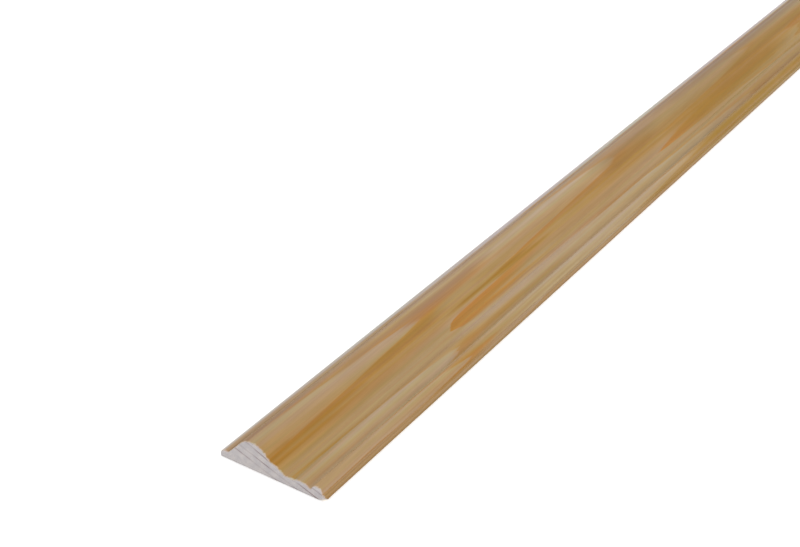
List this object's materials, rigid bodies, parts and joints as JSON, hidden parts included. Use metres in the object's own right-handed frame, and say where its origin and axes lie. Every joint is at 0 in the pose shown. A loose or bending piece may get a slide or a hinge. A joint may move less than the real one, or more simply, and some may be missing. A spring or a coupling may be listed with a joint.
{
  "type": "wood trim strip",
  "caption": "Moulded pine trim strip with a raised crown, a valley and an edge bead, for covering joints on walls, panels and door linings.",
  "frame": {"origin": "centre of the flat back face", "axes": "+X along the strip, +Y across it towards the thick back edge, +Z out of the moulded face"},
  "size_m": [2.4, 0.04, 0.0104],
  "materials": {
    "wood": "satin clear lacquer on pine, with raw sawn ends and a raw back"
  },
  "bodies": {
    "root": {"trim_strip": "wood"}
  },
  "joints": []
}
